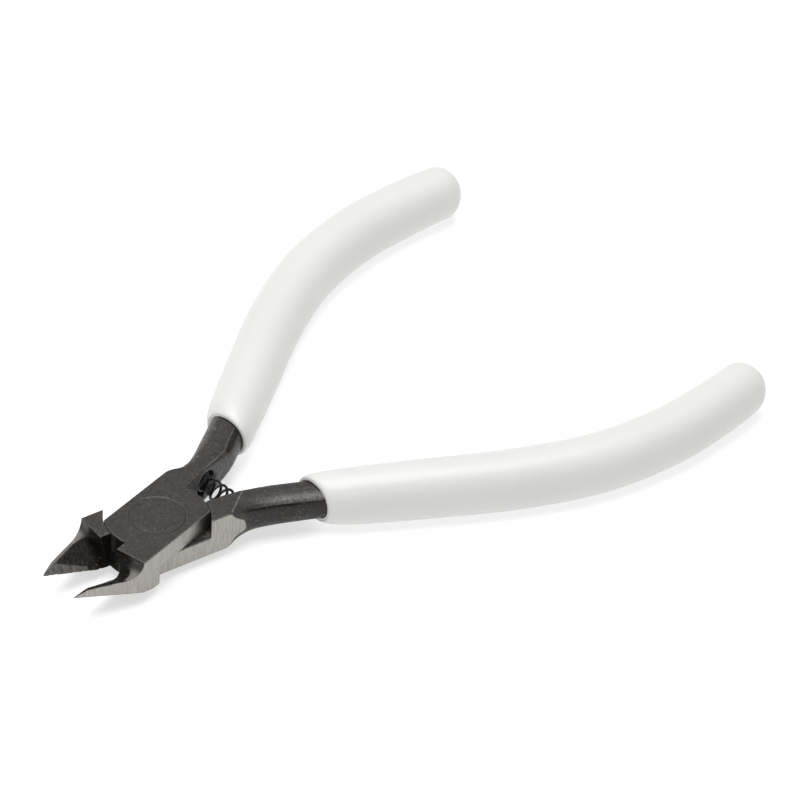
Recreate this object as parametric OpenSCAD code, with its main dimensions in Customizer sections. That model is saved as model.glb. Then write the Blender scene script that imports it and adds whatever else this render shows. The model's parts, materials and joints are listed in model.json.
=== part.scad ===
// Sprue nippers: two half-lapped forged levers on a flush rivet, held open by a small coil
// spring and covered with dipped vinyl grips. Sizes are in millimetres. The origin is on the
// pivot axis at the joint's flat underside, +Z runs up the pivot axis, and +X runs along the
// tool from the blades to the handles. Each lever is drawn closed, with its jaw on the -Y side
// and its handle on the +Y side, and is then turned (and for the lower one mirrored) to rest.

/* [Joint] */
// Thickness of the joint, both lap plates together
joint_t = 6.7; // [6.4:0.1:7]
// Width of the joint across its two flanks
joint_w = 11.4; // [11.2:0.1:11.8]
// Radius of the round shoulders that the lap plates turn against
lap_r = 8.4; // [8.3:0.05:8.5]
// Diameter of the rivet's flush upper head
rivet_head_d = 9; // [8:0.5:10]
// Diameter of the rivet's flush lower head
rivet_foot_d = 8; // [7.5:0.5:9]
// Diameter of the rivet between its heads
rivet_d = 6; // [4:0.5:6.5]
// Thickness of each rivet head
rivet_head_t = 1; // [0.6:0.1:1.4]
// Angle between the two levers when the spring has opened them
rest_opening = 18.6; // [14:0.2:20]

/* [Jaws] */
// Distance from the pivot axis to the blade tips
tip_x = 21; // [20.5:0.1:21.5]
// Distance from the pivot axis to the front of the full-thickness jaw root
root_x = 10.45; // [10.3:0.05:10.6]
// Radius of the hollow between the jaw root and the thin blade
root_hollow_r = 2.55; // [2.4:0.05:2.6]
// Height of the blade's outer rim just in front of that hollow
rim_z = 4; // [3.9:0.05:4.1]
// Highest point of the blade's outer rim
rim_top_z = 4.35; // [4.25:0.05:4.45]
// Distance from the pivot axis to the start of the flush-cut underside, on the centre line
flush_x = 9.6; // [9.5:0.1:9.7]
// Rise of the flush-cut underside towards the tip, in degrees
flush_angle = 16.7; // [16.6:0.1:16.8]
// Rise of the flush-cut underside towards the flank, in degrees
flush_lift = 5; // [4.5:0.1:5.2]
// Angle of the sharpened strip along each cutting edge, in degrees above level
edge_angle = 63; // [60:1:66]

/* [Handles] */
// Radius of the round spring pocket in each neck
pocket_r = 2.25; // [2.1:0.05:2.5]
// Distance from the pivot axis to the spring's axis
spring_x = 14; // [13.8:0.1:14.2]
// Largest thickness of a grip, measured up and down
grip_height = 9.8; // [9.4:0.1:10.2]
// Largest width of a grip, measured across the handle
grip_width = 9.25; // [8.9:0.05:9.6]
// How much further the lower lever was dipped towards the joint than the upper one
lower_dip = 1; // [0:0.1:1.5]

/* [Spring] */
// Outer diameter of the coil spring
spring_od = 3.4; // [3:0.1:3.8]
// Diameter of the spring's wire
wire_d = 0.45; // [0.4:0.05:0.55]
// Number of turns
spring_turns = 7; // [6:0.5:8]

/* [Fits] */
// Gap between the two lap plates
lap_gap = 0.05; // [0.04:0.01:0.08]
// Radial gap between a lap plate and the shoulder that it turns against
shoulder_gap = 0.1; // [0.08:0.01:0.15]
// Radial running clearance of the lower lever on the rivet
rivet_clearance = 0.03; // [0.02:0.01:0.05]
// Gap between a grip and the tang inside it
grip_gap = 0.05; // [0.03:0.01:0.08]
// Distance that each cutting edge stays short of the tool's centre line when closed
edge_gap = 0.03; // [0.02:0.01:0.05]

/* [Hidden] */
$fn = 96;
steel = [0.24, 0.235, 0.23];
vinyl = [0.93, 0.93, 0.92];
spring_steel = [0.12, 0.11, 0.11];
// Size of the blocks that cut flat faces, well past the tool, and how reach any cut overruns
reach = 60;
over = 1;
mid_z = joint_t / 2;
half_w = joint_w / 2;
half_opening = rest_opening / 2;

// Jaw: how reach its root stays off the centre line, the width left at the tip, the short
// corner at the root, and how reach behind the tip and above it the rim is highest
root_relief = 0.2;
tip_half_w = 0.16;
root_corner = 0.1;
rim_peak_back = 2.2;
rim_peak_drop = 1.2;

// Bevel behind the cutting edge: a point on it on the centre line, its rises towards the tip
// and the flank, and the leaning wall that it ends at, turned and set back in the bevel's own
// plane, with a rounded foot. The edge is sharpened in front of bevel_x.
bevel_x = -12.4;
bevel_z = 1.24;
bevel_rise_x = 0.41;
bevel_rise_y = 0.66;
wall_turn = 3.2;
wall_set_back = 3.19;
wall_lean = 18.3;
wall_foot_r = 1.5;

// Neck: where the ground flank ends, and the flat that faces the other neck
flank_end_x = 14.5;
inner_flat_y = 0.55;
inner_flat_angle = 2.9;
inner_flat_len = 23;

// Stations along a lever's forged handle: [x, y, half width, half height, squareness, skew].
// A squareness of 2 is an ellipse and a larger one is boxier. The skew turns a section away
// from square across the handle, in degrees.
lever_stations = [
    [4, 2.1, 4.3, 4.7, 4.2, 0],
    [7.5, 2.1, 4.1, 4.5, 4.2, 0],
    [10.2, 2.1, 3.9, 4.2, 4, 0],
    [12.3, 2.25, 3.55, 3.55, 3, 0],
    [14.8, 2.6, 2.95, 3.33, 2.5, 0],
    [17.5, 3.35, 3, 3.1, 2.3, 0],
    [21, 4.5, 3.1, 2.95, 2.2, 0],
    [26, 6.35, 3.05, 2.9, 2.2, 0],
    [33, 9.3, 2.95, 2.8, 2.2, 0],
    [41.4, 12.8, 2.85, 2.7, 2.2, 0],
    [55.5, 18.5, 2.8, 2.6, 2.2, 0],
    [69.2, 22.1, 2.7, 2.5, 2.2, 0],
    [82.4, 22.5, 2.5, 2.4, 2.2, 0],
    [92, 21, 2, 2, 2.2, 0]
];
lever_sides = 32;
station_steps = 3;

// Spring: the pocket floor that it presses on, and its mesh
pocket_floor_y = 5.3;
spring_end_gap = 0.05;
wire_sides = 6;
steps_per_turn = 16;
coil_r = (spring_od - wire_d) / 2;
spring_start = 95;  // degrees round the coil where its lower end starts, from +X towards +Z
spring_half = pocket_floor_y - wire_d / 2 - spring_end_gap;

// Grip: its domed end, the handle's direction at its mouth, and where the tang enters it
grip_a = grip_width / 2;
grip_b = grip_height / 2;
mouth_heading = 22.8;
dome_len = 3.6;
dome_steps = 6;
dome_fullness = 0.8;
grip_sides = 28;
tang_x = 21.5;

// ---------- curves ----------
function spline_point(a, b, c, d, t) =
    0.5 * (2 * b + (c - a) * t + (2 * a - 5 * b + 4 * c - d) * t * t
        + (3 * b - a - 3 * c + d) * t * t * t);
function spline(stations, steps) = [
    for (i = [0 : len(stations) - 2])
        for (j = [0 : steps - 1])
            spline_point(stations[max(i - 1, 0)], stations[i], stations[i + 1],
                stations[min(i + 2, len(stations) - 1)], j / steps),
    stations[len(stations) - 1]
];
function signed_power(v, p) = sign(v) * pow(abs(v), p);
function heading(path, i) =
    let (before = path[max(i - 1, 0)], after = path[min(i + 1, len(path) - 1)])
    atan2(after[1] - before[1], after[0] - before[0]);
function ring(station, angle, sides) = [
    for (k = [0 : sides - 1])
        let (turn = 360 * k / sides,
            facing = angle + station[5],
            across = station[2] / cos(station[5]) * signed_power(cos(turn), 2 / station[4]),
            up = station[3] * signed_power(sin(turn), 2 / station[4]))
        [station[0] - across * sin(facing), station[1] + across * cos(facing), mid_z + up]
];
// A domed end: stations that shrink along a quarter of an ellipse
function dome(station, angle) = [
    for (i = [1 : dome_steps - 1])
        let (lift = 90 * i / dome_steps, s = pow(cos(lift), dome_fullness),
            ahead = dome_len * sin(lift))
        [station[0] + ahead * cos(angle), station[1] + ahead * sin(angle),
            station[2] * s, station[3] * s, station[4], 0]
];

// A solid skin over a list of rings that all have the same number of points
module skin(rings) {
    sides = len(rings[0]);
    last = len(rings) - 1;
    points = [for (r = rings) each r];
    walls = [
        for (i = [0 : last - 1])
            for (k = [0 : sides - 1])
                let (a = i * sides + k, b = i * sides + (k + 1) % sides)
                each [[a, a + sides, b], [b, a + sides, b + sides]]
    ];
    start_cap = [[for (k = [0 : sides - 1]) k]];
    end_cap = [[for (k = [sides - 1 : -1 : 0]) last * sides + k]];
    polyhedron(points, concat(walls, start_cap, end_cap), convexity = 6);
}

module loft(path, sides) {
    skin([for (i = [0 : len(path) - 1]) ring(path[i], heading(path, i), sides)]);
}

// ---------- lever ----------
// Height of the flush-cut underside on the centre line
function flush_z(x) = (-x - flush_x) * tan(flush_angle);

// Outline of a lap plate: a round disc with both flanks ground straight
module plate_outline(r) {
    intersection() {
        circle(r);
        square([2 * reach, joint_w], center = true);
    }
}

// The jaw's outline, closed: flank, blade and centre line
module jaw_outline() {
    polygon([
        [0, -half_w],
        [-root_x + root_corner, -half_w],
        [-tip_x, -tip_half_w],
        [-tip_x, -edge_gap],
        [-root_x, -edge_gap],
        [-root_x, -root_relief],
        [0, -root_relief]
    ]);
}

// Side view of the jaw in X and Z: rim, hollow and root
module jaw_profile() {
    hollow_x = -root_x - root_hollow_r;
    hollow_z = rim_z + root_hollow_r;
    polygon([
        [0, 0],
        [-tip_x - over, 0],
        [-tip_x - over, rim_top_z - rim_peak_drop],
        [-tip_x + rim_peak_back, rim_top_z],
        [hollow_x, rim_z],
        [-root_x, rim_z],
        [-root_x, joint_t],
        [0, joint_t]
    ]);
    difference() {
        translate([hollow_x, rim_z - over])
            square([root_hollow_r + over, joint_t - rim_z + over]);
        translate([hollow_x, hollow_z])
            circle(root_hollow_r);
        translate([hollow_x - over, hollow_z])
            square([root_hollow_r + over, joint_t]);
    }
}

// Puts its children on a plane through a point that rises along -X and -Y, with their Z
// square to it
module on_plane(point, rise_x, rise_y) {
    translate(point)
        rotate([0, atan(norm([rise_x, rise_y])), atan2(rise_y, rise_x)])
            children();
}

// Everything below the flush-cut underside
module flush_cut() {
    on_plane([-flush_x, 0, 0], tan(flush_angle), tan(flush_lift))
        translate([-reach / 2, -reach / 2, -reach])
            cube(reach);
}

// The bevel behind the cutting edge, ground by a wheel with a rounded corner: a flat floor
// that ends at a leaning wall
module bevel_cut() {
    foot_x = wall_foot_r * tan(45 + wall_lean / 2);
    on_plane([bevel_x, 0, bevel_z], bevel_rise_x, bevel_rise_y)
        rotate([90, 0, 90 + wall_turn])
            translate([-wall_set_back, 0, -reach / 2])
                linear_extrude(reach) {
                    translate([foot_x, wall_foot_r])
                        circle(wall_foot_r);
                    polygon([
                        [foot_x, 0],
                        [reach, 0],
                        [reach, reach],
                        [reach * tan(wall_lean), reach],
                        [foot_x - wall_foot_r * cos(wall_lean),
                            wall_foot_r + wall_foot_r * sin(wall_lean)]
                    ]);
                }
}

// The narrow strip along the cutting edge, sharpened at a steeper angle
module edge_cut() {
    intersection() {
        on_plane([-tip_x, -edge_gap, flush_z(-tip_x)], tan(flush_angle), tan(edge_angle))
            translate([-reach / 2, -reach / 2, 0])
                cube(reach);
        translate([-reach + bevel_x, -reach / 2, 0])
            cube(reach);
    }
}

module jaw() {
    difference() {
        intersection() {
            linear_extrude(joint_t)
                jaw_outline();
            translate([0, reach / 2, 0])
                rotate([90, 0, 0])
                    linear_extrude(reach)
                        jaw_profile();
        }
        flush_cut();
        bevel_cut();
        edge_cut();
    }
}

// The forged neck and tang, ground flat on top, underneath, on the flank and on the inside
neck_path = spline(lever_stations, station_steps);

module neck() {
    difference() {
        intersection() {
            loft(neck_path, lever_sides);
            translate([0, -reach / 2, 0])
                cube([2 * reach, 2 * reach, joint_t]);
        }
        translate([-reach, half_w, -over])
            cube([reach + flank_end_x, reach, joint_t + 2 * over]);
        translate([0, inner_flat_y, -over])
            rotate([0, 0, inner_flat_angle])
                translate([0, -reach, 0])
                    cube([inner_flat_len, reach, joint_t + 2 * over]);
    }
}

// Turns a closed lever out to where it rests
module to_rest() {
    rotate([0, 0, half_opening])
        children();
}

module to_rest_lower() {
    mirror([0, 1, 0])
        to_rest()
            children();
}

// Round pocket for one end of the spring, drilled from the gap between the necks
module pocket() {
    rotate([0, 0, -half_opening])
        translate([spring_x, pocket_floor_y, mid_z])
            rotate([90, 0, 0])
                cylinder(h = 2 * pocket_floor_y, r = pocket_r);
}

// One lever, closed, whose lap plate fills the heights from plate_z0 to plate_z1
module lever(plate_z0, plate_z1, other_z0, other_z1) {
    difference() {
        union() {
            translate([0, 0, plate_z0])
                linear_extrude(plate_z1 - plate_z0)
                    plate_outline(lap_r);
            jaw();
            neck();
        }
        translate([0, 0, other_z0])
            cylinder(h = other_z1 - other_z0, r = lap_r + shoulder_gap);
        pocket();
    }
}

module upper_lever() {
    color(steel)
        difference() {
            to_rest()
                lever(mid_z + lap_gap / 2, joint_t, -over, mid_z + lap_gap / 2);
            cylinder(h = joint_t + over, d = rivet_d);
            translate([0, 0, joint_t - rivet_head_t])
                cylinder(h = rivet_head_t + over, d = rivet_head_d);
        }
}

module lower_lever() {
    color(steel)
        difference() {
            to_rest_lower()
                lever(0, mid_z - lap_gap / 2, mid_z - lap_gap / 2, joint_t + over);
            translate([0, 0, -over])
                cylinder(h = joint_t + over, d = rivet_d + 2 * rivet_clearance);
            translate([0, 0, -over])
                cylinder(h = rivet_head_t + lap_gap + over, d = rivet_foot_d + 4 * rivet_clearance);
        }
}

// ---------- rivet ----------
module pivot_rivet() {
    color(steel) {
        cylinder(h = joint_t, d = rivet_d);
        cylinder(h = rivet_head_t, d = rivet_foot_d);
        translate([0, 0, joint_t - rivet_head_t])
            cylinder(h = rivet_head_t, d = rivet_head_d);
    }
}

// ---------- spring ----------
module return_spring() {
    steps = spring_turns * steps_per_turn;
    color(spring_steel)
        skin([
            for (i = [0 : steps])
                let (turn = spring_start + 360 * i / steps_per_turn, y = spring_half * (2 * i / steps - 1))
                [for (k = [0 : wire_sides - 1])
                    let (w = 360 * k / wire_sides, r = coil_r + wire_d / 2 * cos(w))
                    [spring_x + r * cos(turn), y - wire_d / 2 * sin(w), mid_z + r * sin(turn)]]
        ]);
}

// ---------- grips ----------
// Stations along a grip's outside, like lever_stations, from its mouth to the start of its
// domed end. The dip moves the mouth along the handle towards the joint.
function grip_stations(dip) = [
    [26.4 - dip * cos(mouth_heading), 6.5 - dip * sin(mouth_heading), 3.45, 3.4, 2.1, -28],
    [27.2 - dip * cos(mouth_heading), 6.85 - dip * sin(mouth_heading), 3.9, 3.95, 2.1, -26],
    [29.2, 7.7, grip_a - 0.4, grip_b - 0.5, 2.15, -18],
    [34, 9.7, grip_a - 0.25, grip_b - 0.25, 2.15, 0],
    [41.4, 12.8, grip_a - 0.1, grip_b - 0.1, 2.15, 0],
    [55.5, 18.5, grip_a, grip_b, 2.15, 0],
    [69.2, 22.1, grip_a, grip_b, 2.15, 0],
    [82.4, 22.5, grip_a - 0.1, grip_b - 0.1, 2.15, 0],
    [93.4, 20.7, grip_a - 0.2, grip_b - 0.2, 2.15, 0],
    [100.4, 18.9, grip_a - 0.4, grip_b - 0.4, 2.15, 0]
];
tang_cavity = [
    for (s = neck_path)
        if (s[0] > tang_x) [s[0], s[1], s[2] + grip_gap, s[3] + grip_gap, s[4], s[5]]
];

module grip(dip) {
    stations = grip_stations(dip);
    last = len(stations) - 1;
    end = dome(stations[last], heading(stations, last));
    color(vinyl)
        difference() {
            loft(concat(spline(stations, station_steps), end), grip_sides);
            loft(tang_cavity, lever_sides);
        }
}

module upper_lever_grip() {
    to_rest()
        grip(0);
}

module lower_lever_grip() {
    to_rest_lower()
        grip(lower_dip);
}

upper_lever();
lower_lever();
pivot_rivet();
return_spring();
upper_lever_grip();
lower_lever_grip();
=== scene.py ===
"""Looks for the sprue nippers: oxide-blacked forged levers with ground flanks, a coil spring and
dipped vinyl grips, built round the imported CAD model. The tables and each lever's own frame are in
mm."""

import json
import math

import bmesh
import bpy
import numpy as np
from mathutils import Matrix, Vector
from mathutils.bvhtree import BVHTree


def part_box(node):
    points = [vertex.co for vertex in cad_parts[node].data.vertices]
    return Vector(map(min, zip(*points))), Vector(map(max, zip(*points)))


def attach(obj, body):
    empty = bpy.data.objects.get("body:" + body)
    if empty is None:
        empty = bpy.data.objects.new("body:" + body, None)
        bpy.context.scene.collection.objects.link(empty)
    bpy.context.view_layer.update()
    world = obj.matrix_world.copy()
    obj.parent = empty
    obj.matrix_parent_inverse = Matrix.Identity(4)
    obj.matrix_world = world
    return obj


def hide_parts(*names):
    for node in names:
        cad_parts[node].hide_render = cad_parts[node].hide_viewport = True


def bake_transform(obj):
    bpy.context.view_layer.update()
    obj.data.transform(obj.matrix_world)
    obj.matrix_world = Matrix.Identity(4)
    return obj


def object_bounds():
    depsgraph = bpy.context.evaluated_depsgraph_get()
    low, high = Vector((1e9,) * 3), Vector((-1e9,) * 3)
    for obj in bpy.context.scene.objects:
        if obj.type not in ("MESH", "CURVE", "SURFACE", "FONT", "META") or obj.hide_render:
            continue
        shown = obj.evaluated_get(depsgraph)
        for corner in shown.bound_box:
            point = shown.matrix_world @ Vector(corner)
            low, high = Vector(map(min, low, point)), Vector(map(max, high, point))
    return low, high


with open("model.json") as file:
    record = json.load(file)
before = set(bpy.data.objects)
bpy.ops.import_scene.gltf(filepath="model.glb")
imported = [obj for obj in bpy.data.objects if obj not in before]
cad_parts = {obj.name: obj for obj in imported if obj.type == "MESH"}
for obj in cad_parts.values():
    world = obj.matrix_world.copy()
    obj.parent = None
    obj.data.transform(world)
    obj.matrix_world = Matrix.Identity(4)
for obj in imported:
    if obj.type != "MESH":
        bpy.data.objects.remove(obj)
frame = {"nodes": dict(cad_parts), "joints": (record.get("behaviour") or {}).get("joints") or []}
cad_box = [list(corner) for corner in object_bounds()]

MM = 0.001
UPPER, LOWER = "upper_half", "lower_half"
JOINT = frame["joints"][0]
MID_Z_MM = JOINT["pos_m"][2] / MM
HALF_OPENING = math.radians(JOINT["range_deg"][1]) / 2

# Each lever has its own frame, as it is when closed, with its jaw on the -Y side and its handle on
# the +Y side
HALF_W = 5.7  # half of the joint's width
ROOT_X = 10.45  # where the joint plate ends, in front of the rivet
TIP_X = 21.0  # where the blades end, in front of the rivet
HOLLOW_R = 2.55  # the fillet's radius, from the joint plate's end down to the bevel
RIM_Z = 4.0  # the height of the fillet's foot
JAW_FACE = (-0.4615, -0.887, 0)  # the way the jaw's outer face looks
EDGE_RISE = 0.30  # how steeply the blade's edge rises towards its tip
EDGE_START = 9.6  # where it would start from the underside, in front of the rivet
EDGE_LEAN = 1.963  # the slope of the strip that is ground along the blade
SPRING_X = 14.0

TANG_X = 34  # past this X in the row frame the lever is out of sight in its grip

# Where the ground flank ends, as x at each height z, and the line in plan where the lower lever's
# milled top ends and its forged neck starts
FLANK_END_Z = (0.0, 0.8, 1.5, 1.85, 2.1, 3.1, 3.85, 4.5, 4.88, 5.39, 5.98, 6.42, 6.7)
FLANK_END_X = (9.8, 10.46, 11.0, 11.6, 13.2, 13.2, 12.93, 12.52, 11.89, 11.13, 10.61, 10.46, 10.4)
MILLED_END = ((13.93, 2.53), (10.71, 5.18))

# The forging's raised line along the outer top of the neck, and the fold along its inner top with
# the flat facet behind it, as x, y, z
RIDGE = ((12.2, 5.2, 5.9), (13, 5.03, 5.82), (15.1, 5.12, 5.52), (17.6, 5.75, 5.52), (20, 6.5, 5.5),
         (22.3, 7.34, 5.47), (25.2, 8.44, 5.42), (30, 10.4, 5.4))
FOLD = ((13.9, 1.46, 6.56), (16, 1.77, 6.43), (17.5, 1.96, 6.23), (20.5, 2.4, 5.86),
        (22.6, 3.37, 5.91), (24.2, 4.0, 5.93), (26, 4.67, 5.91), (30, 6.4, 5.9))
FACET_FOOT = ((20.5, 2.1, 5.4), (21.3, 1.93, 5.14), (23.1, 2.58, 5.17), (25.6, 3.8, 5.3),
              (30, 5.7, 5.3))


# ---------- camera, light and floor ----------
def make_camera():
    """A long lens from the front left, high up, turned slightly about its own axis."""
    turn, height, roll = math.radians(-46.68), math.radians(38.054), math.radians(3.724)
    target = Vector((52.47, -0.797, 3.15)) * MM
    distance = 1.11
    flat = math.cos(height)
    back = Vector((math.sin(turn) * flat, -math.cos(turn) * flat, math.sin(height)))
    right = Vector((math.cos(turn), math.sin(turn), 0))
    up = back.cross(right)
    x_axis = math.cos(roll) * right + math.sin(roll) * up
    y_axis = math.cos(roll) * up - math.sin(roll) * right
    data = bpy.data.cameras.new("camera")
    data.sensor_width = 36
    data.lens = 311.5
    data.clip_start = 0.05
    data.clip_end = 20
    camera = bpy.data.objects.new("camera", data)
    bpy.context.scene.collection.objects.link(camera)
    place = Matrix((x_axis, y_axis, back)).transposed().to_4x4()
    place.translation = target + back * distance
    camera.matrix_world = place
    bpy.context.scene.camera = camera


def area_light(name, place, size, power, aim=(0.05, 0, 0)):
    """A round soft light at a place, turned to its aim, the middle of the tool."""
    data = bpy.data.lights.new(name, "AREA")
    data.shape = "DISK"
    data.size = size
    data.energy = power
    light = bpy.data.objects.new(name, data)
    bpy.context.scene.collection.objects.link(light)
    light.location = place
    light.rotation_euler = (Vector(aim) - Vector(place)).to_track_quat("-Z", "Y").to_euler()


def make_world(strength):
    """An even white surround."""
    world = bpy.data.worlds.new("studio")
    bpy.context.scene.world = world
    world.use_nodes = True
    background = world.node_tree.nodes["Background"]
    background.inputs["Color"].default_value = (1, 1, 1, 1)
    background.inputs["Strength"].default_value = strength


# ---------- materials ----------
OXIDE_DARK, OXIDE_LIGHT = (0.012, 0.0100, 0.0090), (0.025, 0.0215, 0.0195)
OXIDE_MOTTLE = (0.044, 0.0385, 0.0345)
WORN_STEEL = (0.30, 0.285, 0.27)
STEEL_DARK, STEEL_LIGHT = (0.25, 0.234, 0.214), (0.42, 0.398, 0.368)


class Graph:
    """A material's node tree, filled one node at a time."""

    def __init__(self, name):
        self.material = bpy.data.materials.new(name)
        self.material.use_nodes = True
        self.tree = self.material.node_tree
        self.shader = self.tree.nodes["Principled BSDF"]

    def add(self, kind, inputs=None, **settings):
        node = self.tree.nodes.new("ShaderNode" + kind)
        for key, value in settings.items():
            setattr(node, key, value)
        for key, value in (inputs or {}).items():
            self.set(node.inputs[key], value)
        return node

    def set(self, socket, value):
        if isinstance(value, bpy.types.NodeSocket):
            self.tree.links.new(value, socket)
        else:
            socket.default_value = value

    def math(self, operation, *values):
        return self.add("Math", dict(enumerate(values)), operation=operation).outputs[0]

    def attribute(self, name):
        return self.add("Attribute", attribute_name=name).outputs

    def object_mm(self):
        """Object coordinates in mm."""
        return self.scaled(self.add("TexCoord").outputs["Object"], (1000, 1000, 1000))

    def scaled(self, vector, scale):
        return self.add("Mapping", {"Vector": vector, "Scale": scale}).outputs[0]

    def noise(self, vector, scale, detail=3, roughness=0.5, **settings):
        inputs = {"Vector": vector, "Scale": scale, "Detail": detail, "Roughness": roughness}
        return self.add("TexNoise", inputs, **settings).outputs["Fac"]

    def ramp(self, value, low, high, out_low=0.0, out_high=1.0):
        """value mapped from low..high to out_low..out_high, clamped and eased."""
        inputs = {"Value": value, "From Min": low, "From Max": high}
        inputs.update({"To Min": out_low, "To Max": out_high})
        return self.add("MapRange", inputs, interpolation_type="SMOOTHSTEP").outputs[0]

    def mix(self, factor, low, high):
        """Two colours mixed; a colour is a socket or three numbers."""
        full = [v if isinstance(v, bpy.types.NodeSocket) else (*v, 1) for v in (low, high)]
        node = self.add("Mix", {0: factor, 6: full[0], 7: full[1]}, data_type="RGBA")
        return node.outputs[2]

    def blend(self, factor, low, high):
        """Two numbers mixed."""
        return self.add("Mix", {0: factor, 2: low, 3: high}, data_type="FLOAT").outputs[0]

    def bump(self, height, distance_mm, strength=1.0, normal=None):
        inputs = {"Height": height, "Distance": distance_mm * MM, "Strength": strength}
        if normal is not None:
            inputs["Normal"] = normal
        return self.add("Bump", inputs).outputs[0]

    def finish(self, **sockets):
        for name, value in sockets.items():
            self.set(self.shader.inputs[name.replace("_", " ")], value)
        return self.material


def black_oxide(g, own, cloud):
    """The oxide's colour: two blacks in clouds, with paler mottling."""
    mottle = g.ramp(g.noise(own, 2.3, 3, 0.65), 0.42, 0.66, 0.0, 0.75)
    return g.mix(mottle, g.mix(cloud, OXIDE_DARK, OXIDE_LIGHT), OXIDE_MOTTLE)


def lever_steel():
    """Forged steel with a thin black oxide, ground bright where the lever's masks say so."""
    g = Graph("lever_steel")
    own = g.attribute("own_mm")["Vector"]
    masks = "ground", "strip", "patch", "shade_and_oxide", "streak", "forged", "rub", "shade", "crease"
    ground, strip, patch, shade_and_oxide, streak, forged, rub, shade, crease = (
        g.attribute(name)["Fac"] for name in masks
    )

    cloud = g.noise(own, 0.55, 4, 0.6)
    grain = g.noise(own, 5.0, 4, 0.7)
    coarse = g.noise(own, 1.7, 3, 0.6)
    dots = g.noise(own, 3.1, 1, 0.4)
    speck = g.blend(forged, g.ramp(dots, 0.68, 0.74), g.ramp(dots, 0.63, 0.71))
    speck = g.math("MULTIPLY", speck, g.ramp(g.noise(own, 0.35, 2), 0.42, 0.6))
    edge = g.ramp(g.add("NewGeometry").outputs["Pointiness"], 0.52, 0.58)
    brush = g.noise(g.scaled(own, (1, 1, 0.035)), 9.0, 3, 0.7)
    dirt = g.ramp(g.noise(g.scaled(own, (1, 1, 0.4)), 1.3, 4, 0.65), 0.55, 0.75)
    wheel = g.noise(g.scaled(own, (1.9, 0.5, 0.3)), 2.6, 4, 0.75)

    oxide = black_oxide(g, own, cloud)
    brown = g.math("MULTIPLY", g.ramp(g.noise(own, 0.8, 3, 0.6), 0.5, 0.7), forged)
    oxide = g.mix(g.math("MULTIPLY", brown, 0.5), oxide, (0.048, 0.038, 0.033))
    # The bevel and the throat hollow go near black: the bevel's dark oxide with painted shade over
    # it, and painted shade in the hollow
    oxide = g.mix(g.math("MULTIPLY", shade_and_oxide, 0.88), oxide, (0.004, 0.0035, 0.003))
    wheeled = g.math("MULTIPLY", g.ramp(wheel, 0.48, 0.74, 0.0, 0.7), streak)
    oxide = g.mix(wheeled, oxide, (0.12, 0.108, 0.095))
    stripped = g.math("MULTIPLY", strip, g.ramp(wheel, 0.35, 0.62, 0.25, 1.0))
    oxide = g.mix(stripped, oxide, (0.17, 0.155, 0.14))
    oxide = g.mix(g.math("MULTIPLY", patch, 0.75), oxide, (0.22, 0.205, 0.19))
    oxide = g.mix(g.math("MULTIPLY", shade, 0.8), oxide, (0.008, 0.008, 0.008))

    worn = g.math("MULTIPLY", edge, g.ramp(grain, 0.35, 0.65, 0.08, 0.4))
    worn = g.math("MULTIPLY", worn, g.math("SUBTRACT", 1.0, g.math("MULTIPLY", shade_and_oxide, 0.7)))
    worn = g.math("MAXIMUM", worn, g.math("MULTIPLY", speck, 0.32))
    # Lighter steel along the ridge's upper face: rubbed specks with a painted highlight
    rubbed = g.math("MULTIPLY", rub, g.ramp(grain, 0.48, 0.62, 0.12, 0.75))
    worn = g.math("MAXIMUM", worn, rubbed)
    worn = g.math("MAXIMUM", worn, g.math("MULTIPLY", crease, g.ramp(coarse, 0.3, 0.6, 0.15, 0.55)))
    oxide = g.mix(worn, oxide, WORN_STEEL)
    steel = g.mix(g.ramp(brush, 0.3, 0.7), STEEL_DARK, STEEL_LIGHT)
    steel = g.mix(g.math("MULTIPLY", dirt, 0.35), steel, (0.22, 0.20, 0.18))
    colour = g.mix(ground, oxide, steel)

    rough_skin = g.math("ADD", g.math("MULTIPLY", coarse, 1.6), grain)
    skin = g.blend(forged, g.math("ADD", grain, g.math("MULTIPLY", cloud, 0.8)), rough_skin)
    height = g.blend(ground, skin, brush)
    rough_oxide = g.blend(g.ramp(cloud, 0.35, 0.7), 0.42, 0.56)
    rough_oxide = g.blend(forged, rough_oxide, g.ramp(coarse, 0.3, 0.7, 0.36, 0.55))
    rough_oxide = g.blend(g.math("MAXIMUM", shade_and_oxide, patch), rough_oxide, 0.7)
    rough = g.blend(ground, rough_oxide, g.ramp(brush, 0.2, 0.8, 0.36, 0.52))
    return g.finish(
        Base_Color=colour,
        Metallic=g.blend(ground, g.math("MULTIPLY", worn, 0.4), 1.0),
        Roughness=rough,
        # Hardly any reflection where shade is painted, so those places read as dark
        Specular_IOR_Level=g.blend(g.math("MAXIMUM", shade_and_oxide, shade), 0.45, 0.05),
        Normal=g.bump(height, 0.03, 0.6),
    )


def rivet_steel():
    """The same black oxide on the rivet's turned faces."""
    g = Graph("rivet_steel")
    own = g.object_mm()
    cloud = g.noise(own, 0.55, 4, 0.6)
    grain = g.noise(own, 5.0, 4, 0.7)
    speck = g.ramp(g.noise(own, 3.1, 1, 0.4), 0.69, 0.75)
    edge = g.ramp(g.add("NewGeometry").outputs["Pointiness"], 0.53, 0.62)
    worn = g.math("MAXIMUM", g.math("MULTIPLY", edge, 0.2), g.math("MULTIPLY", speck, 0.32))
    return g.finish(
        Base_Color=g.mix(worn, black_oxide(g, own, cloud), WORN_STEEL),
        Roughness=g.blend(g.ramp(cloud, 0.35, 0.7), 0.42, 0.56),
        Specular_IOR_Level=0.45,
        Normal=g.bump(g.math("ADD", grain, g.math("MULTIPLY", cloud, 0.8)), 0.03, 0.6),
    )


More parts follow.
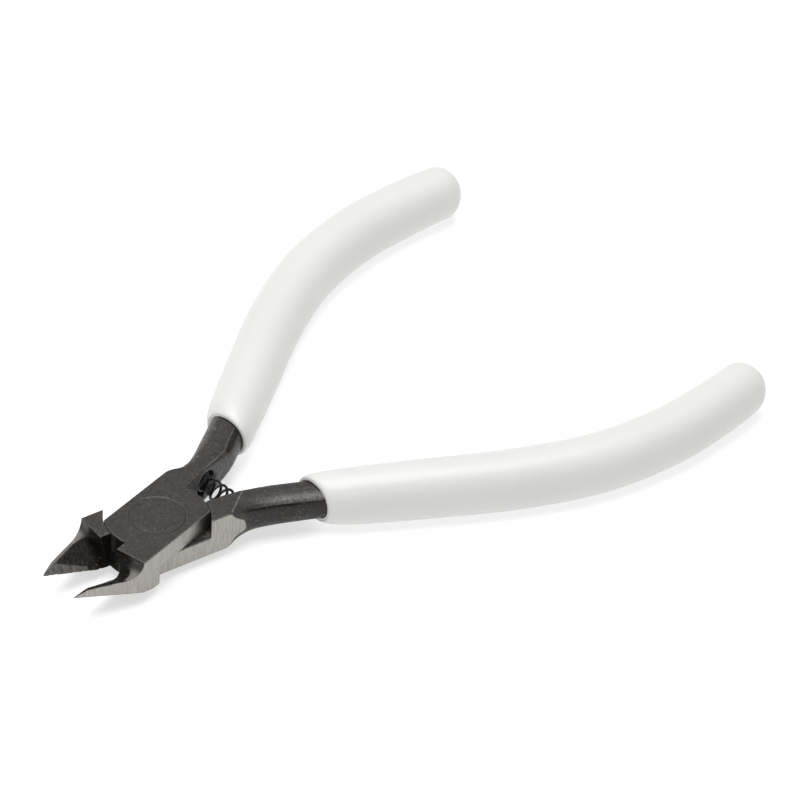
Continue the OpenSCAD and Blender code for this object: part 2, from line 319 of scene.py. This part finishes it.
def spring_steel():
    """Black drawn wire with a slight sheen and rubbed spots."""
    g = Graph("spring_steel")
    own = g.object_mm()
    rub = g.noise(own, 1.6, 3, 0.6)
    colour = g.mix(g.ramp(rub, 0.55, 0.8), (0.010, 0.010, 0.010), (0.06, 0.058, 0.055))
    return g.finish(
        Base_Color=colour,
        Metallic=0.4,
        Roughness=g.blend(rub, 0.28, 0.45),
        Normal=g.bump(g.noise(own, 12.0, 2), 0.01, 0.4),
    )


def grip_vinyl():
    """Dipped white vinyl: satin, a little soft under the surface, with faint handling marks."""
    g = Graph("grip_vinyl")
    own = g.attribute("own_mm")["Vector"]
    cloud = g.noise(own, 0.09, 3, 0.5)
    peel = g.noise(own, 1.1, 2, 0.5)
    fine = g.noise(own, 6.0, 2, 0.5)
    mark = g.ramp(g.noise(g.scaled(own, (0.6, 1.5, 1.5)), 0.55, 5, 0.7), 0.68, 0.8)
    clean = g.mix(cloud, (0.635, 0.635, 0.619), (0.675, 0.675, 0.662))
    colour = g.mix(g.math("MULTIPLY", mark, 0.14), clean, (0.50, 0.48, 0.45))
    height = g.math("ADD", peel, g.math("MULTIPLY", fine, 0.12))
    return g.finish(
        Base_Color=colour,
        Roughness=g.blend(g.ramp(peel, 0.3, 0.7), 0.36, 0.46),
        Subsurface_Weight=0.25,
        Subsurface_Radius=(0.8, 0.75, 0.7),
        Subsurface_Scale=0.0008,
        Coat_Weight=0.06,
        Coat_Roughness=0.25,
        Normal=g.bump(height, 0.05, 0.35),
    )


def floor_paper():
    """Matt paper lit from behind, so that it shows as pale as the photo's ground."""
    g = Graph("floor_paper")
    own = g.add("TexCoord").outputs["Object"]
    tone = g.mix(g.noise(own, 3.0, 2), (0.49, 0.49, 0.49), (0.51, 0.51, 0.51))
    return g.finish(
        Base_Color=tone,
        Roughness=0.9,
        Specular_IOR_Level=0.1,
        Emission_Color=(1, 1, 1, 1),
        Emission_Strength=0.6,
    )


def make_floor(material):
    """A large flat sheet that the tool lies on."""
    reach, level = 3.0, cad_box[0][2]
    mesh = bpy.data.meshes.new("floor")
    ways = ((-1, -1), (1, -1), (1, 1), (-1, 1))
    corners = [(reach * x, reach * y, level) for x, y in ways]
    mesh.from_pydata(corners, [], [(0, 1, 2, 3)])
    mesh.materials.append(material)
    floor = bpy.data.objects.new("floor", mesh)
    bpy.context.scene.collection.objects.link(floor)


# ---------- mesh helpers ----------
def own_frame(points, body):
    """Points or directions in the row frame, turned into the lever's own closed frame."""
    turned = np.array(points, float)
    if body == LOWER:
        turned[:, 1] *= -1
    c, s = math.cos(HALF_OPENING), math.sin(HALF_OPENING)
    x, y = turned[:, 0].copy(), turned[:, 1].copy()
    turned[:, 0] = c * x + s * y
    turned[:, 1] = c * y - s * x
    return turned


def row_frame(points, body):
    """The reverse of own_frame."""
    turned = np.array(points, float)
    c, s = math.cos(HALF_OPENING), math.sin(HALF_OPENING)
    x, y = turned[:, 0].copy(), turned[:, 1].copy()
    turned[:, 0] = c * x - s * y
    turned[:, 1] = s * x + c * y
    if body == LOWER:
        turned[:, 1] *= -1
    return turned


def coordinates(mesh):
    """The vertices' places, one row each."""
    flat = np.zeros(len(mesh.vertices) * 3, np.float32)
    mesh.vertices.foreach_get("co", flat)
    return flat.reshape(-1, 3).astype(float)


def normals(mesh):
    """The vertices' normals, one row each."""
    flat = np.zeros(len(mesh.vertices) * 3, np.float32)
    mesh.vertex_normals.foreach_get("vector", flat)
    return flat.reshape(-1, 3).astype(float)


def store(mesh, name, values):
    """Keeps a number or a vector for each vertex under a name that a material can read."""
    values = np.asarray(values, np.float32)
    kind, key = ("FLOAT_VECTOR", "vector") if values.ndim == 2 else ("FLOAT", "value")
    mesh.attributes.new(name, kind, "POINT").data.foreach_set(key, values.ravel())


def new_piece(name, mesh, body, material, slot, *nodes):
    """A smooth visible piece that replaces CAD nodes. Without a body it is left unattached."""
    piece = bpy.data.objects.new(name, mesh)
    bpy.context.scene.collection.objects.link(piece)
    mesh.materials.clear()
    mesh.materials.append(material)
    mesh.polygons.foreach_set("use_smooth", np.ones(len(mesh.polygons), bool))
    if body is not None:
        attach(piece, body)
    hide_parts(*nodes)
    return piece


def with_modifier(mesh, kind, group=None, **settings):
    """A copy of the mesh with one modifier applied. group says which vertices it works on."""
    holder = bpy.data.objects.new("holder", mesh)
    bpy.context.scene.collection.objects.link(holder)
    modifier = holder.modifiers.new(kind.lower(), kind)
    for key, value in settings.items():
        setattr(modifier, key, value)
    if group is not None:
        members = holder.vertex_groups.new(name="share")
        members.add(np.flatnonzero(group).tolist(), 1.0, "REPLACE")
        modifier.vertex_group = members.name
    graph = bpy.context.evaluated_depsgraph_get()
    made = bpy.data.meshes.new_from_object(holder.evaluated_get(graph))
    bpy.data.objects.remove(holder)
    return made


def welded(mesh, distance=2e-6):
    """A copy of the mesh whose coincident vertices are joined."""
    shape = bmesh.new()
    shape.from_mesh(mesh)
    bmesh.ops.remove_doubles(shape, verts=shape.verts, dist=distance)
    made = bpy.data.meshes.new("welded")
    shape.to_mesh(made)
    shape.free()
    return made


def relax(mesh, share, rounds):
    """Moves each vertex part of the way to its neighbours' mean, as many times as rounds says."""
    points = coordinates(mesh)
    pairs = np.zeros(len(mesh.edges) * 2, np.int32)
    mesh.edges.foreach_get("vertices", pairs)
    a, b = pairs.reshape(-1, 2).T
    count = np.bincount(a, minlength=len(points)) + np.bincount(b, minlength=len(points))
    count = np.maximum(count, 1)[:, None]
    step = np.asarray(share)[:, None]
    for _ in range(rounds):
        total = np.stack([
            np.bincount(a, points[b, k], len(points)) + np.bincount(b, points[a, k], len(points))
            for k in range(3)
        ], axis=1)
        points += step * (total / count - points)
    mesh.vertices.foreach_set("co", points.astype(np.float32).ravel())
    mesh.update()


def ease(value, low, high):
    """0 up to low, 1 from high on, and a smooth step between."""
    t = np.clip((value - low) / (high - low), 0, 1)
    return t * t * (3 - 2 * t)


# ---------- levers ----------
VOXEL = 0.14 * MM


def on_plane(points, facing, normal, through, tolerance=0.06):
    """How much each point lies on a plane and faces along its normal, from 0 to 1."""
    normal = np.array(normal, float) / np.linalg.norm(normal)
    away = np.abs((points - np.array(through, float)) @ normal)
    return (1 - ease(away, tolerance, 2 * tolerance)) * ease(facing @ normal, 0.80, 0.95)


def from_line(at, line):
    """Each point's distance from a line that is given as y and z at each x, and its height above
    the line."""
    xs, ys, zs = np.array(line).T
    y, z = np.interp(at[:, 0], xs, ys), np.interp(at[:, 0], xs, zs)
    return np.hypot(at[:, 1] - y, at[:, 2] - z), at[:, 2] - z


def past_milling(at):
    """How far each point is beyond the line where the milled top ends."""
    (x0, y0), (x1, y1) = MILLED_END
    length = math.hypot(x1 - x0, y1 - y0)
    return (at[:, 0] - x0) * (y1 - y0) / length - (at[:, 1] - y0) * (x1 - x0) / length


def past_flank(at):
    """How far each point is beyond the end of the ground flank."""
    return at[:, 0] - np.interp(at[:, 2], FLANK_END_Z, FLANK_END_X)


def lever_masks(mesh, body):
    """Stores where the lever is ground bright (on the lower lever's rim a painted highlight),
    darkened by oxide and painted shade in the bevel and throat hollow, streaked by the wheel,
    forged, rubbed bare with a painted highlight along the ridge, shaded or creased."""
    at = own_frame(coordinates(mesh), body) / MM
    facing = own_frame(normals(mesh), body)
    x, y, z = at.T
    handle_side = on_plane(at, facing, (0, 1, 0), (0, HALF_W, 0), 0.12)
    flank = np.maximum.reduce([
        on_plane(at, facing, (0, -1, 0), (0, -HALF_W, 0)),
        handle_side * (1 - ease(past_flank(at), -0.08, 0.06)),
        on_plane(at, facing, JAW_FACE, (-TIP_X, -0.16, 0)),
    ])
    off_strip = np.abs(z - EDGE_RISE * (-x - EDGE_START) + EDGE_LEAN * y)
    strip = ease(-x, 12.4, 12.9) * (1 - ease(off_strip, 0.07, 0.2))
    strip *= ease(facing[:, 1], 0.6, 0.8) * (y > -1.2)
    rim = ease(facing[:, 2], 0.85, 0.95) * (x < -12.6) * (z > 3.2) * (z < 4.6)
    in_front = x < -ROOT_X + 0.05
    fillet = np.abs(np.hypot(x + ROOT_X + HOLLOW_R, z - RIM_Z - HOLLOW_R) - HOLLOW_R) < 0.08
    fillet = fillet * in_front * (z < RIM_Z + HOLLOW_R) * (x > -ROOT_X - HOLLOW_R)
    patch = fillet * ease(-y, 3.0, 4.8) * (1 - ease(z, 4.5, 5.3))
    # On the lower lever the rim's top land is painted half as bright as ground steel: a painted
    # highlight
    ground = np.maximum(flank, (0.45 if body == LOWER else 0.0) * rim)
    bevel = in_front * (1 - ground) * (facing[:, 2] > 0.1) * (z < 6.6)
    hollow = ease(x, -12.6, -10.4) * (1 - ease(x, -8.3, -8.0)) * (facing[:, 2] < 0.9) * (z < 6.6)
    hollow *= 1 - ease(np.abs(y), 2.6, 4.0)
    if body == UPPER:
        strip *= 0.25
    bevel_dark = 0.7 if body == LOWER else 1.0
    # Near black in the throat hollow and on the bevel: painted shade over the bevel's dark oxide
    shade_and_oxide = np.maximum(hollow, bevel_dark * bevel * (1 - fillet)) * (1 - ground) * (1 - strip)
    store(mesh, "own_mm", at)
    store(mesh, "ground", ground)
    store(mesh, "strip", strip)
    store(mesh, "patch", patch)
    store(mesh, "shade_and_oxide", shade_and_oxide)
    store(mesh, "streak", bevel * (1 - 0.5 * fillet))
    store(mesh, "forged", ease(x, 11.0, 14.0) * (1 - ground))

    away, above = from_line(at, RIDGE)
    along = ease(x, 12.5, 14.0)
    # Where the upper face along the ridge is painted lighter: rubbed specks and a painted highlight
    rub = along * (1 - ease(away, 0.1, 1.5)) * ease(above, -0.25, 0.0) * ease(x, 14, 21)
    line = (1 - ease(np.abs(above + 0.32), 0.10, 0.30)) * (away < 1.2) * (1 - 0.5 * ease(x, 20, 26))
    below = 0.42 * (1 - ease(above, -0.5, -0.2)) * ease(y, 4.0, 5.0)
    shade = along * np.maximum(line, below)
    crease = np.zeros(len(at))
    if body == LOWER:
        crease = 1 - ease(np.abs(past_milling(at)), 0.05, 0.14)
        crease = crease * (z > 6.35) * (y > 1.2) * (y < 5.4)
    else:
        off_fold, over_fold = from_line(at, FOLD)
        off_foot, over_foot = from_line(at, FACET_FOOT)
        crease = 0.55 * (1 - ease(off_fold, 0.06, 0.16)) * ease(x, 13.0, 15.0)
        facet = ease(x, 20.3, 20.7) * (over_fold < 0) * (over_foot > 0) * (y < 9) * (off_fold < 1.4)
        shade = np.maximum(shade, 0.75 * facet)
    store(mesh, "rub", rub)
    store(mesh, "shade", shade)
    store(mesh, "crease", crease)


def sharpen(mesh, source, body):
    """Puts the jaw and the joint plate back on the CAD surface, and the blade's edges back on its
    sharp edges, after the remesh has rounded them."""
    plate_end_x, blade_end_x, sharp = 10.0, -10.9, math.radians(75)
    corners, faces = [v.co for v in source.vertices], [p.vertices for p in source.polygons]
    tree = BVHTree.FromPolygons(corners, faces)
    points = coordinates(mesh)
    own = own_frame(points, body) / MM
    for k in np.flatnonzero(own[:, 0] < plate_end_x):
        points[k] = tree.find_nearest(Vector(points[k]))[0]
    shape = bmesh.new()
    shape.from_mesh(source)
    ends = [
        [v.co[:] for v in edge.verts] for edge in shape.edges
        if len(edge.link_faces) == 2 and edge.calc_face_angle(0) > sharp
    ]
    shape.free()
    near = np.flatnonzero(own[:, 0] < blade_end_x)
    best, best_away = points[near].copy(), np.full(len(near), 1.0)
    for a, b in np.array(ends):
        if own_frame(np.array([(a + b) / 2]), body)[0, 0] > blade_end_x * MM:
            continue
        t = np.clip((points[near] - a) @ (b - a) / ((b - a) @ (b - a)), 0, 1)
        spot = a + t[:, None] * (b - a)
        away = np.linalg.norm(points[near] - spot, axis=1)
        closer = away < best_away
        best[closer], best_away[closer] = spot[closer], away[closer]
    pull = 1 - ease(best_away / MM, 0.09, 0.2)
    points[near] += pull[:, None] * (best - points[near])
    mesh.vertices.foreach_set("co", points.astype(np.float32).ravel())
    mesh.update()


def forge_details(mesh, body):
    """Raises the line along the neck, and sinks the forged skin below the milled faces."""
    at = own_frame(coordinates(mesh), body) / MM
    facing = own_frame(normals(mesh), body)
    away, _ = from_line(at, RIDGE)
    ridge_height, ridge_reach = 0.24, 1.9
    rise = ridge_height * np.maximum(0, 1 - away / ridge_reach)
    rise = rise * ease(at[:, 0], 12.2, 14.5) * (1 - ease(at[:, 0], 26, 29))
    on_side = ease(facing[:, 1], 0.5, 0.8) * ease(at[:, 1], 4.6, 5.0)
    sink = 0.10 * on_side * ease(past_flank(at), -0.03, 0.16)
    if body == LOWER:
        on_top = ease(facing[:, 2], 0.5, 0.8) * ease(at[:, 2], 5.6, 6.0)
        sink = np.maximum(sink, 0.13 * on_top * ease(past_milling(at), -0.03, 0.16))
    sink *= 1 - ease(at[:, 0], 17, 22)
    at += (rise - sink)[:, None] * facing
    mesh.vertices.foreach_set("co", (row_frame(at, body) * MM).astype(np.float32).ravel())
    mesh.update()


def make_lever(node, body, material):
    """The CAD lever remeshed finely, so that its edges are slightly rounded and its forged neck
    is smooth. Inside the grip the mesh is thinned out again."""
    source = welded(frame["nodes"][node].data)
    mesh = with_modifier(source, "REMESH", mode="VOXEL", voxel_size=VOXEL)
    at = own_frame(coordinates(mesh), body) / MM
    x, y = at[:, 0], at[:, 1]
    off_flank = 1 - ease(y, HALF_W - 0.25, HALF_W - 0.05) * (1 - ease(x, 12.9, 13.5))
    relax(mesh, np.full(len(at), 0.5), 3)
    relax(mesh, 0.5 * ease(x, 11.8, 14.0) * off_flank, 24)
    sharpen(mesh, source, body)
    forge_details(mesh, body)
    hidden = coordinates(mesh)[:, 0] > TANG_X * MM
    mesh = with_modifier(mesh, "DECIMATE", group=hidden, ratio=0.58)
    lever_masks(mesh, body)
    new_piece(node.replace("lever", "forging"), mesh, body, material, "lever_steel", node)


# ---------- rivet ----------
def lathe(profile_mm, sides=96):
    """A closed mesh turned about the Z axis from a profile of radius and height that starts and
    ends on the axis."""
    shape = bmesh.new()
    rings = []
    for radius, height in profile_mm[1:-1]:
        rings.append([
            shape.verts.new((radius * MM * math.cos(t), radius * MM * math.sin(t), height * MM))
            for t in np.linspace(0, 2 * math.pi, sides, endpoint=False)
        ])
    for low, high in zip(rings, rings[1:]):
        for k in range(sides):
            n = (k + 1) % sides
            shape.faces.new((low[k], low[n], high[n], high[k]))
    caps = (rings[0], profile_mm[0], True), (rings[-1], profile_mm[-1], False)
    for ring, (_, height), flip in caps:
        centre = shape.verts.new((0, 0, height * MM))
        for k in range(sides):
            n = (k + 1) % sides
            shape.faces.new((ring[n], ring[k], centre) if flip else (ring[k], ring[n], centre))
    mesh = bpy.data.meshes.new("lathe")
    shape.to_mesh(mesh)
    shape.free()
    return mesh


def rounded(radius, height, turn_from, turn_to, bend, steps=4):
    """Points round a small outside corner whose centre is set in by the bend's radius."""
    angles = np.radians(np.linspace(turn_from, turn_to, steps + 1))
    return [(radius - bend + bend * math.cos(t), height + bend * math.sin(t)) for t in angles]


def make_rivet(material):
    """A turned pin with a wide flat head at each end, level with the lap plates."""
    _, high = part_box("pivot_rivet")
    top = high.z / MM
    head_r, foot_r, shank_r, head_t, bend = 4.5, 4.0, 3.0, 1.0, 0.12
    rings = [(0, 0)]
    rings += [(foot_r * k / 4, 0) for k in (1, 2, 3)]
    rings += rounded(foot_r, bend, -90, 0, bend)
    rings += [(foot_r, head_t - 0.05), (shank_r, head_t)]
    rings += [(shank_r, top - head_t), (head_r, top - head_t + 0.05)]
    rings += rounded(head_r, top - bend, 0, 90, bend)
    rings += [(head_r * k / 4, top) for k in (3, 2, 1)]
    rings += [(0, top)]
    new_piece("rivet", lathe(rings), UPPER, material, "rivet_steel", "pivot_rivet")


# ---------- tubes and grips ----------
def tube(rings):
    """A mesh over a list of rings, each an array of points, with a fan over each end."""
    rings = [np.asarray(r, float) for r in rings]
    sides = len(rings[0])
    points = np.concatenate(rings)
    faces = []
    for i in range(len(rings) - 1):
        for k in range(sides):
            n = (k + 1) % sides
            here, there = i * sides, (i + 1) * sides
            faces.append((here + k, here + n, there + n, there + k))
    points = np.vstack([points, rings[0].mean(0), rings[-1].mean(0)])
    first, last, end = len(points) - 2, len(points) - 1, (len(rings) - 1) * sides
    for k in range(sides):
        n = (k + 1) % sides
        faces.append((n, k, first))
        faces.append((end + k, end + n, last))
    mesh = bpy.data.meshes.new("tube")
    mesh.from_pydata(points.tolist(), [], faces)
    shape = bmesh.new()
    shape.from_mesh(mesh)
    bmesh.ops.recalc_face_normals(shape, faces=shape.faces)
    shape.to_mesh(mesh)
    shape.free()
    return mesh


def make_spring(material):
    """An open coil between the two pockets."""
    low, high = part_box("return_spring")
    wire_r = 0.225 * MM
    coil_r = (high.z - low.z) / 2 - wire_r
    middle = (high.z + low.z) / 2
    reach = high.y - wire_r
    turns, steps, sides, start = 7, 40, 16, math.radians(95)
    along = np.linspace(-1, 1, turns * steps + 1)
    turn = start + math.pi * turns * (along + 1)
    around_x, around_z = coil_r * np.cos(turn), coil_r * np.sin(turn)
    centres = np.stack([SPRING_X * MM + around_x, reach * along, middle + around_z], 1)
    tangents = np.gradient(centres, axis=0)
    tangents /= np.linalg.norm(tangents, axis=1)[:, None]
    outward = np.stack([np.cos(turn), np.zeros_like(turn), np.sin(turn)], 1)
    outward -= (outward * tangents).sum(1)[:, None] * tangents
    outward /= np.linalg.norm(outward, axis=1)[:, None]
    across = np.cross(tangents, outward)
    spokes = np.linspace(0, 2 * math.pi, sides, endpoint=False)
    rings = [
        c + wire_r * (np.outer(np.cos(spokes), o) + np.outer(np.sin(spokes), w))
        for c, o, w in zip(centres, outward, across)
    ]
    spring = new_piece("coil_spring", tube(rings), None, material, "spring_steel", "return_spring")
    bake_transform(spring)


def spline(stations, steps):
    """A smooth curve through the stations, every value at once."""
    s = np.asarray(stations, float)
    padded = np.vstack([s[0], s, s[-1]])
    t = np.arange(steps)[:, None] / steps
    spans = [
        0.5 * (
            2 * b + (c - a) * t + (2 * a - 5 * b + 4 * c - d) * t**2
            + (3 * b - a - 3 * c + d) * t**3
        )
        for a, b, c, d in zip(padded, padded[1:], padded[2:], padded[3:])
    ]
    return np.vstack([*spans, s[-1]])


def signed_power(values, power):
    """Each value's power, with its sign kept."""
    return np.sign(values) * np.abs(values) ** power


def section(station, heading, sides):
    """One ring of a grip, a superellipse square to the handle but for its skew."""
    x, y, half_w, half_h, squareness, skew = station
    turn = np.linspace(0, 2 * math.pi, sides, endpoint=False)
    across = half_w / math.cos(skew) * signed_power(np.cos(turn), 2 / squareness)
    up = half_h * signed_power(np.sin(turn), 2 / squareness)
    over_x, over_y = -math.sin(heading + skew), math.cos(heading + skew)
    return np.stack([x + across * over_x, y + across * over_y, MID_Z_MM + up], 1)


GRIP_W, GRIP_H = 9.25, 9.8
MOUTH_HEADING = math.radians(22.8)


def grip_stations(dip):
    """Stations along a grip's outside: x, y, half width, half height, squareness and skew. dip is
    how far the mouth is set back towards the joint."""
    a, b = GRIP_W / 2, GRIP_H / 2
    back_x, back_y = dip * math.cos(MOUTH_HEADING), dip * math.sin(MOUTH_HEADING)
    rows = [
        [26.4 - back_x, 6.5 - back_y, 3.45, 3.4, 2.1, -28],
        [27.2 - back_x, 6.85 - back_y, 3.9, 3.95, 2.1, -26],
        [29.2, 7.7, a - 0.4, b - 0.5, 2.15, -18],
        [34, 9.7, a - 0.25, b - 0.25, 2.15, 0],
        [41.4, 12.8, a - 0.1, b - 0.1, 2.15, 0],
        [55.5, 18.5, a, b, 2.15, 0],
        [69.2, 22.1, a, b, 2.15, 0],
        [82.4, 22.5, a - 0.1, b - 0.1, 2.15, 0],
        [93.4, 20.7, a - 0.2, b - 0.2, 2.15, 0],
        [100.4, 18.9, a - 0.4, b - 0.4, 2.15, 0],
    ]
    return np.array([[*r[:5], math.radians(r[5])] for r in rows])


def make_grip(node, body, dip, material):
    """A dipped sleeve: a thin lip at its mouth, a swelling body and a domed closed end. Inside the
    mouth its wall goes a little way in round the neck."""
    sides, steps, dome_len, dome_steps = 96, 14, 3.6, 14
    lip, lip_steps, wall, wall_depth = 0.22, 5, 0.64, 3
    path = spline(grip_stations(dip), steps)
    slope = np.gradient(path[:, :2], axis=0)
    heading = np.arctan2(slope[:, 1], slope[:, 0])
    rings = []
    mouth = path[0]
    ahead = np.array([math.cos(heading[0]), math.sin(heading[0])])
    for k in range(wall_depth):
        deep = mouth.copy()
        deep[:2] += ahead * (wall_depth - k)
        deep[2:4] -= wall
        rings.append(section(deep, heading[0], sides))
    for k in range(lip_steps + 1):
        t = math.pi * (1 - k / lip_steps)
        rim = mouth.copy()
        rim[:2] += ahead * lip * (1 - math.sin(t))
        rim[2:4] += lip * (math.cos(t) - 1)
        rings.append(section(rim, heading[0], sides))
    # The lip takes the place of the path's first two steps
    for station, angle in zip(path[2:], heading[2:]):
        rings.append(section(station, angle, sides))
    end, angle = path[-1], heading[-1]
    for k in range(1, dome_steps):
        lift = math.pi / 2 * k / dome_steps
        ring = end.copy()
        ring[:2] += dome_len * math.sin(lift) * np.array([math.cos(angle), math.sin(angle)])
        ring[2:4] *= math.cos(lift) ** 0.8
        rings.append(section(ring, angle, sides))
    mesh = tube([row_frame(r * MM, body) for r in rings])
    store(mesh, "own_mm", own_frame(coordinates(mesh), body) / MM)
    new_piece(node.replace("lever_grip", "sleeve"), mesh, body, material, "grip_vinyl", node)


# ---------- the whole tool ----------
make_camera()
make_world(0.44)
area_light("key", (0.0, 0.1, 0.95), 0.9, 10)
area_light("front", (-0.7, -0.8, 0.5), 0.7, 0.5)
make_floor(floor_paper())
steel = lever_steel()
vinyl = grip_vinyl()
make_lever("upper_lever", UPPER, steel)
make_lever("lower_lever", LOWER, steel)
make_rivet(rivet_steel())
make_spring(spring_steel())
make_grip("upper_lever_grip", UPPER, 0.0, vinyl)
make_grip("lower_lever_grip", LOWER, 1.0, vinyl)
bpy.context.scene.view_settings.view_transform = "Standard"
